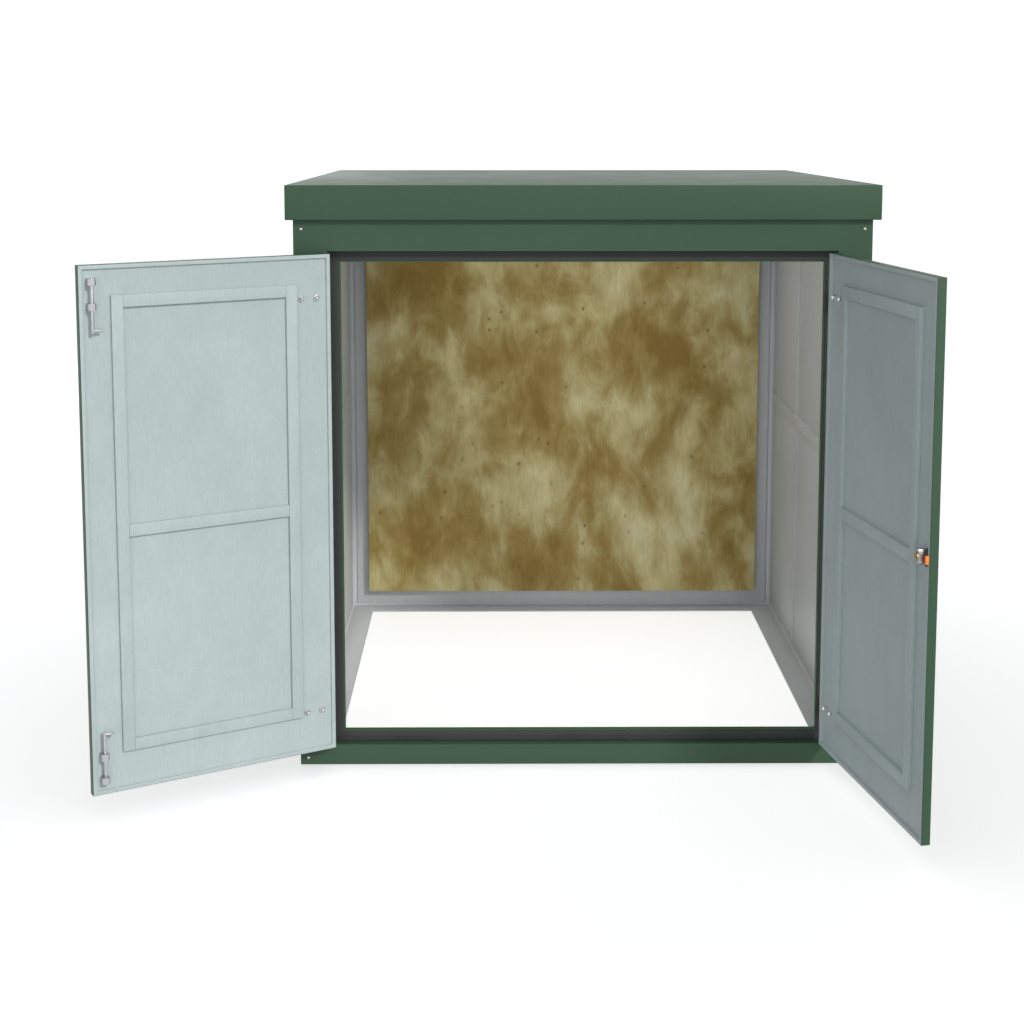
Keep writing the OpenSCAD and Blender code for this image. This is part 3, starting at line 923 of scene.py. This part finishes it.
def make_hinge_plates(side):
    """Frame halves: a plate with rounded corners and two screws, and two knuckles each."""
    hand = Matrix.Scale(1 if side == "left" else -1, 4, (1, 0, 0))
    node = side + "_hinge_plates"
    low_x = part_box("left_hinge_plates")[0].x
    axis_x, axis_y = JOINTS["left_door_hinge"]["pos_m"][:2]
    plate_x1 = axis_x - PLATE_SET
    middle_x, face_y = (low_x + plate_x1) / 2, front_y + PLATE_FACE_V
    screw = screw_mesh(6 * MM, 4 * MM)
    bm = bmesh.new()
    for z in HINGE_ZS:
        outline = rounded_rectangle(plate_x1 - low_x, 2 * BARREL_HALF, 5 * MM)
        verts = prism(bm, outline, upright(middle_x, face_y, z), -PLATE_FACE_V)
        round_edges(bm, 0.6 * MM, 2, at_depth(face_y), verts)
        for way in (-1, 1):
            z0, z1 = sorted((z + way * (DOOR_KNUCKLE_HALF + KNUCKLE_GAP), z + way * BARREL_HALF))
            knuckle(bm, Matrix.Translation((axis_x, axis_y, 0)), z0, z1)
            rounded_box(bm, (plate_x1 - 2 * MM, face_y, z0), (axis_x - 5 * MM, front_y, z1), 0.4 * MM)
            at = Matrix.Translation((middle_x - 4.5 * MM, face_y, z + way * 0.6 * BARREL_HALF))
            add_copy(bm, screw, at @ facing((0, -1, 0)))
    screw.free()
    piece(node + "_cast", bm, ENCLOSURE, steel, (node,), place=hand)
    pins = bmesh.new()
    for z in HINGE_ZS:
        top = z + BARREL_HALF
        cap = PIN_RADIUS + 2 * MM
        profile = [(PIN_RADIUS - 0.1 * MM, z - BARREL_HALF), (PIN_RADIUS - 0.1 * MM, top), (cap, top),
                   (cap, top + 1.6 * MM), (cap - 1.4 * MM, top + 3 * MM)]
        revolve(pins, profile, Matrix.Translation((axis_x, axis_y, 0)), steps=32)
    piece(side + "_hinge_pins_turned", pins, ENCLOSURE, bright_steel, (side + "_hinge_pins",),
          place=hand)


def make_hinge_straps(side):
    """Door halves: a strap with a round end and two bolt heads, and one knuckle each."""
    node = side + "_hinge_straps"
    tip_u = leaf_box(node, side)[1].x
    nut_low, nut_high = leaf_box(side + "_hinge_nuts", side)
    start = -door_gap + PLATE_SET
    bolt = bmesh.new()
    bolt_r, bolt_h = 7 * MM, 3 * MM
    dome = [(bolt_r * cos(radians(a)), bolt_h * (0.3 + 0.7 * sin(radians(a)))) for a in range(0, 90, 10)]
    revolve(bolt, [(bolt_r, 0)] + dome + [(0, bolt_h)], Matrix.Identity(4), steps=32)
    bm = bmesh.new()
    for z in HINGE_ZS:
        nose = arc((tip_u - STRAP_HALF, z), STRAP_HALF, 90, -90, 14)
        outline = [(start, z + STRAP_HALF)] + nose + [(start, z - STRAP_HALF)]
        verts = prism(bm, outline, upright(0, PLATE_FACE_V, 0), -PLATE_FACE_V)
        round_edges(bm, 0.6 * MM, 2, at_depth(PLATE_FACE_V), verts)
        axis = Matrix.Translation((-door_gap, -AXIS_SET, 0))
        knuckle(bm, axis, z - DOOR_KNUCKLE_HALF, z + DOOR_KNUCKLE_HALF)
        rounded_box(bm, (-door_gap + 5 * MM, PLATE_FACE_V, z - DOOR_KNUCKLE_HALF),
                    (start + 2 * MM, 0, z + DOOR_KNUCKLE_HALF), 0.4 * MM)
        for u in (nut_low.x + NUT_RADIUS, nut_high.x - NUT_RADIUS):
            add_copy(bm, bolt, Matrix.Translation((u, PLATE_FACE_V, z)) @ facing((0, -1, 0)))
    bolt.free()
    piece(node + "_cast", bm, side + "_door", steel, (node,), place=LEAF[side])


# ---- Shoot bolts ----


def bolt_axis(which):
    """Where a bolt's axis is (u, v), and its radius."""
    low, high = leaf_box(which + "_bolt_rod", "left")
    guide_low, guide_high = leaf_box(which + "_bolt_guides", "left")
    u = (guide_low.x + guide_high.x) / 2
    return u, (low.y + high.y) / 2, high.x - u


def make_bolt_rod(which):
    """A round rod with a chamfered tip, and a side handle with a neck and a rounded end."""
    u, v, radius = bolt_axis(which)
    low, high = leaf_box(which + "_bolt_rod", "left")
    way = 1 if which == "upper" else -1
    end, tip = (low.z, high.z) if way > 0 else (high.z, low.z)
    chamfer = 1.6 * MM
    length = abs(tip - end)
    handle_in = 9 * MM
    place = Matrix.Translation((u, v, end)) @ facing((0, 0, way))
    bm = bmesh.new()
    profile = [(radius - 0.8 * MM, 0), (radius, 0.8 * MM), (radius, length - 2.2 * chamfer),
               (radius - chamfer, length)]
    revolve(bm, profile, place, steps=36)
    handle_r = 4.5 * MM
    reach = u - low.x
    grip = [(handle_r - 0.8 * MM, 0), (handle_r - 0.8 * MM, radius + 2 * MM), (handle_r, radius + 3 * MM),
            (handle_r, reach - 2.5 * MM), (handle_r - 0.7 * MM, reach - 0.8 * MM), (handle_r - 2 * MM, reach)]
    at = Matrix.Translation((u, v, end + way * handle_in)) @ facing((-1, 0, 0))
    revolve(bm, grip, at, steps=28)
    piece(which + "_bolt_rod_turned", bm, which + "_bolt", steel, (which + "_bolt_rod",),
          place=LEAF["left"])


def make_bolt_guides(which):
    """Two guides with chamfered shoulders, bored for the rod."""
    u, v, radius = bolt_axis(which)
    node = which + "_bolt_guides"
    low, high = leaf_box(node, "left")
    zs = levels(node, "left", 2)
    half = (high.x - low.x) / 2
    shoulder = 6.5 * MM
    outline = [(-half, PAN_V), (half, PAN_V), (half, high.y - shoulder), (half - shoulder, high.y),
               (shoulder - half, high.y), (-half, high.y - shoulder)]
    bm = bmesh.new()
    bores = bmesh.new()
    for z0, z1 in ((zs[0], zs[1]), (zs[-2], zs[-1])):
        place = Matrix.Translation((u, 0, z0))
        verts = prism(bm, outline, place, z1 - z0)
        round_edges(bm, 1.2 * MM, 3, verts=verts)
        revolve(bores, [(radius + 0.25 * MM, z0 - MM), (radius + 0.25 * MM, z1 + MM)],
                Matrix.Translation((u, v, 0)), steps=36)
    bm = cut(bm, bores)
    piece(node + "_cast", bm, LEFT, steel, (node,), place=LEAF["left"])


# ---- Lock and outside lock plate on the right leaf ----


def plate_prism(bm, outline, centre_u, v0, v1, centre_z, edge):
    """A flat plate on the leaf from an outline in (u, z), with its face edges rounded."""
    verts = prism(bm, outline, upright(centre_u, v0, centre_z), v1 - v0)
    round_edges(bm, edge, 3, at_depth(v1), verts)


def make_lock():
    side = "right"
    place = LEAF[side]
    plate_low, plate_high = leaf_box("lock_plate", side)
    u, z = (plate_low.x + plate_high.x) / 2, (plate_low.z + plate_high.z) / 2
    plate = bmesh.new()
    plate_prism(plate, rounded_rectangle(plate_high.x - plate_low.x, plate_high.z - plate_low.z, 4 * MM),
                u, PAN_V, plate_high.y, z, 0.7 * MM)
    piece("lock_plate_painted", plate, RIGHT, plate_paint, ("lock_plate",), place=place)

    case_low, case_high = leaf_box("lock_case", side)
    width, height = case_high.x - case_low.x, case_high.z - case_low.z
    case = bmesh.new()
    step = 3 * MM
    plate_prism(case, rounded_rectangle(width, height, width / 2 - 0.1 * MM, 10), u, case_low.y,
                case_high.y - step, z, 1.2 * MM)
    plate_prism(case, rounded_rectangle(width - 2 * MM, height - 2 * MM, width / 2 - 1.2 * MM, 10), u,
                case_high.y - step, case_high.y, z, 1.2 * MM)
    piece("lock_case_cast", case, RIGHT, steel, ("lock_case",), place=place)

    end_low, end_high = leaf_box("lock_end", side)
    radius = (end_high.x - end_low.x) / 2
    end = bmesh.new()
    thick = end_high.y - end_low.y
    at = Matrix.Translation((u, end_low.y, z)) @ facing((0, 1, 0))
    revolve(end, [(radius, 0), (radius, thick - MM), (radius - MM, thick), (radius - 4 * MM, thick),
                  (radius - 4.6 * MM, thick - 0.6 * MM)], at, steps=48)
    slot = bmesh.new()
    box(slot, (u - MM, end_high.y - 2.5 * MM, z - 5 * MM), (u + MM, end_high.y + MM, z + 5 * MM))
    end = cut(end, slot)
    piece("lock_end_turned", end, RIGHT, brass, ("lock_end",), place=place)

    strip_low, strip_high = leaf_box("lock_strip", side)
    strip = bmesh.new()
    rounded_box(strip, strip_low, strip_high, 1.2 * MM, 3)
    piece("lock_strip_moulded", strip, RIGHT, black_plastic, ("lock_strip",), place=place)

    release_low, release_high = leaf_box("lock_release", side)
    release = bmesh.new()
    rounded_box(release, release_low, release_high, 1.4 * MM, 3)
    grooves = bmesh.new()
    for i in (-1, 0, 1):
        middle = (release_low.z + release_high.z) / 2 + i * 5 * MM
        box(grooves, (release_low.x - MM, release_high.y - 0.8 * MM, middle - 0.6 * MM),
            (release_high.x + MM, release_high.y + MM, middle + 0.6 * MM))
    release = cut(release, grooves)
    piece("lock_release_moulded", release, RIGHT, orange_plastic, ("lock_release",),
          place=place)


def make_outside_plate():
    """A low oval plate with a raised border, and the round end of the key cylinder with its slot."""
    low, high = leaf_box("outside_lock_plate", "right")
    width, height = high.x - low.x, high.z - low.z
    u, z = (low.x + high.x) / 2, (low.z + high.z) / 2
    plate_t, cylinder_r, edge = 6 * MM, 11 * MM, 1.5 * MM
    bm = bmesh.new()
    plate_prism(bm, rounded_rectangle(width, height, width / 2 - 0.1 * MM, 12), u, 0, -plate_t, z, edge)
    hollow = bmesh.new()
    inset = 4 * MM
    face_v = -plate_t + 1.2 * MM
    inner = rounded_rectangle(width - 2 * inset, height - 2 * inset, width / 2 - inset - 0.1 * MM, 12)
    plate_prism(hollow, inner, u, face_v, -plate_t - MM, z, 0.3 * MM)
    bm = cut(bm, hollow)
    at = Matrix.Translation((u, 0, z)) @ facing((0, -1, 0))
    revolve(bm, [(cylinder_r, 0), (cylinder_r, -low.y - MM), (cylinder_r - MM, -low.y)], at, steps=44)
    slot = bmesh.new()
    box(slot, (u - 0.8 * MM, low.y - MM, z - 4.5 * MM), (u + 0.8 * MM, low.y + 3 * MM, z + 4.5 * MM))
    bm = cut(bm, slot)
    screw = screw_mesh(4 * MM, 2 * MM)
    for way in (-1, 1):
        add_copy(bm, screw, Matrix.Translation((u, face_v, z + way * 0.36 * height)) @ facing((0, -1, 0)))
    screw.free()
    piece("outside_plate_cast", bm, RIGHT, steel, ("outside_lock_plate",), place=LEAF["right"])


make_front_frame()
make_stop()
make_seals()
seam_edges = make_side_wall("left")
make_side_wall("right")
make_back_wall(seam_edges[1:-1])
make_corner_fillets()
make_flange()
make_base_coves()
make_roof()
make_backboard()
make_frame_screws()
for each_side in ("left", "right"):
    make_wall_strips(each_side)
    make_leaf(each_side)
    make_stiffener(each_side)
    make_hinge_nuts(each_side)
    make_hinge_plates(each_side)
    make_hinge_straps(each_side)
for each_bolt in ("upper", "lower"):
    make_bolt_rod(each_bolt)
    make_bolt_guides(each_bolt)
make_lock()
make_outside_plate()

# ---- Stage, light and camera ----


def make_stage():
    """A pale floor that glows a little under a white dome. Returns the floor."""
    white = (1, 1, 1, 1)
    floor_finish = Finish("studio_floor", Roughness=0.9, Specular_IOR_Level=0.1,
                          Base_Color=(0.95, 0.95, 0.95, 1), Emission_Color=white, Emission_Strength=0.52)
    bpy.ops.mesh.primitive_circle_add(vertices=96, radius=40, fill_type="NGON", location=(0, 0, -0.5 * MM))
    floor = bpy.context.object
    floor.name = "studio_floor"
    floor.data.materials.append(floor_finish.material)
    floor.visible_diffuse = False

    dome_finish = Finish("studio_dome", Base_Color=(0, 0, 0, 1), Emission_Color=white, Emission_Strength=1.05)
    bpy.ops.mesh.primitive_uv_sphere_add(segments=64, ring_count=32, radius=39, location=(0, 0, 0))
    dome = bpy.context.object
    dome.name = "studio_dome"
    dome.data.materials.append(dome_finish.material)
    dome.visible_diffuse = False
    dome.visible_transmission = False
    dome.visible_shadow = False
    return floor


def make_world(strength):
    world = bpy.data.worlds.new("studio")
    bpy.context.scene.world = world
    world.use_nodes = True
    background = world.node_tree.nodes["Background"]
    background.inputs["Color"].default_value = (0.96, 0.98, 1.0, 1)
    background.inputs["Strength"].default_value = strength


def add_light(name, kind, place, towards, **settings):
    """A light at a place, shining along a direction."""
    data = bpy.data.lights.new(name, kind)
    for key, value in settings.items():
        setattr(data, key, value)
    light = bpy.data.objects.new(name, data)
    light.location = place
    light.rotation_mode = "QUATERNION"
    light.rotation_quaternion = (-Vector(towards)).to_track_quat("Z", "Y")
    bpy.context.scene.collection.objects.link(light)
    return light


def sun(name, towards, strength, softness, colour, skipped):
    """A soft distant light, with its softness in degrees. It leaves one object, the floor, unlit."""
    light = add_light(name, "SUN", (0, 0, 0), towards, energy=strength, angle=radians(softness),
                      color=colour)
    unlit = bpy.data.collections.new(name + "_skips")
    unlit.objects.link(skipped)
    light.light_linking.receiver_collection = unlit
    unlit.collection_objects[0].light_linking.link_state = "EXCLUDE"


def panel_light(name, place, towards, size, power, spread=180):
    """A square soft light that the camera doesn't see, with its spread in degrees."""
    light = add_light(name, "AREA", place, towards, energy=power, size=size, spread=radians(spread))
    light.visible_camera = False


def make_camera():
    camera = bpy.data.objects.new("camera", bpy.data.cameras.new("camera"))
    camera.data.sensor_width = 36
    camera.data.lens = 61.17
    camera.data.shift_y = -0.19
    camera.location = (-0.283, -6.987, 2.345)
    pitch, yaw = 7.0, 0.36
    camera.rotation_euler = (radians(90 - pitch), 0, radians(-yaw))
    camera.data.clip_end = 200
    bpy.context.scene.collection.objects.link(camera)
    bpy.context.scene.camera = camera


studio_floor = make_stage()
make_world(0.54)
sun("key", (-0.52, 0.74, -0.56), 2.12, 9, (1.0, 0.99, 0.97), studio_floor)
sun("fill", (0.05, 1, -0.12), 0.8, 50, (1.0, 1.0, 1.0), studio_floor)
panel_light("room", (0, 0, wall_top - 30 * MM), (0, 0, -1), 1.7, 9, 150)
panel_light("back_left", (-3.5, 9, 3), (0.35, -1, -0.1), 4, 58)
make_camera()
bpy.context.scene.view_settings.view_transform = "Standard"
